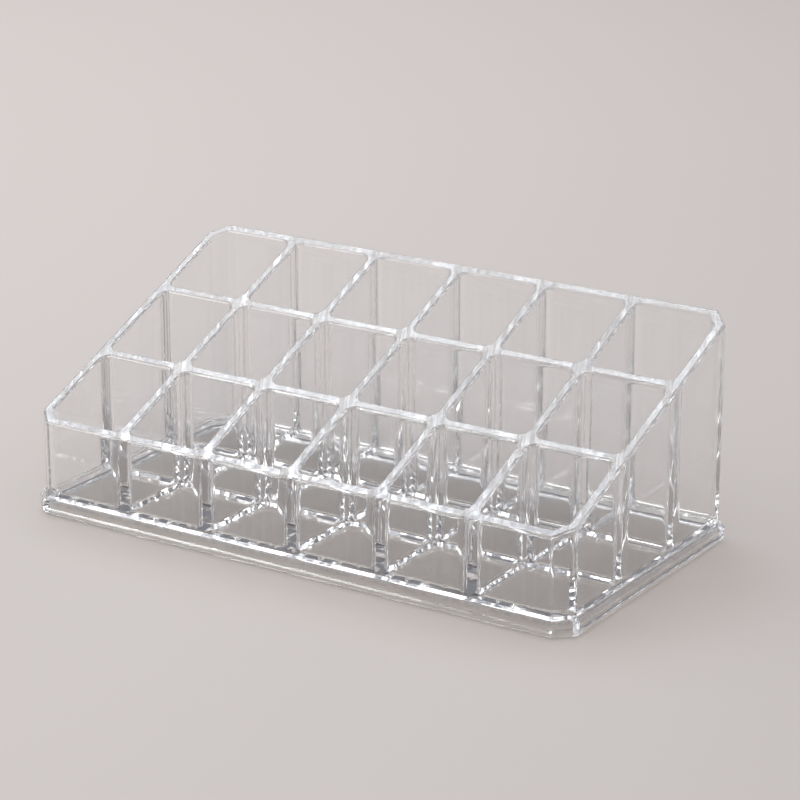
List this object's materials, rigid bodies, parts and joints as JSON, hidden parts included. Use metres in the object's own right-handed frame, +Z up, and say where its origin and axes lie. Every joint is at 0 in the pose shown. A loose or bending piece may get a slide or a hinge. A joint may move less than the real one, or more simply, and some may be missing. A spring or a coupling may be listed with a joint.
{
  "type": "vanity organizer",
  "caption": "Clear stepped organizer on a bevelled base plate, with rows of upright pockets that rise from a low front to a high rear, for small cosmetics.",
  "frame": {"origin": "middle of the base plate's footprint, on the surface that it stands on", "axes": "+X to the right along the long side, +Y from the low front to the high rear, +Z up"},
  "size_m": [0.1704, 0.0892, 0.0628],
  "materials": {
    "clear_plastic": "polished, clear and colourless"
  },
  "bodies": {
    "root": {"base_plate": "clear_plastic", "front_wall": "clear_plastic", "rear_wall": "clear_plastic", "left_wall": "clear_plastic", "right_wall": "clear_plastic", "front_left_corner": "clear_plastic", "front_right_corner": "clear_plastic", "rear_left_corner": "clear_plastic", "rear_right_corner": "clear_plastic", "divider_1": "clear_plastic", "divider_2": "clear_plastic", "divider_3": "clear_plastic", "divider_4": "clear_plastic", "divider_5": "clear_plastic", "front_partition_1": "clear_plastic", "front_partition_2": "clear_plastic", "front_partition_3": "clear_plastic", "front_partition_4": "clear_plastic", "front_partition_5": "clear_plastic", "front_partition_6": "clear_plastic", "rear_partition_1": "clear_plastic", "rear_partition_2": "clear_plastic", "rear_partition_3": "clear_plastic", "rear_partition_4": "clear_plastic", "rear_partition_5": "clear_plastic", "rear_partition_6": "clear_plastic"}
  },
  "joints": []
}
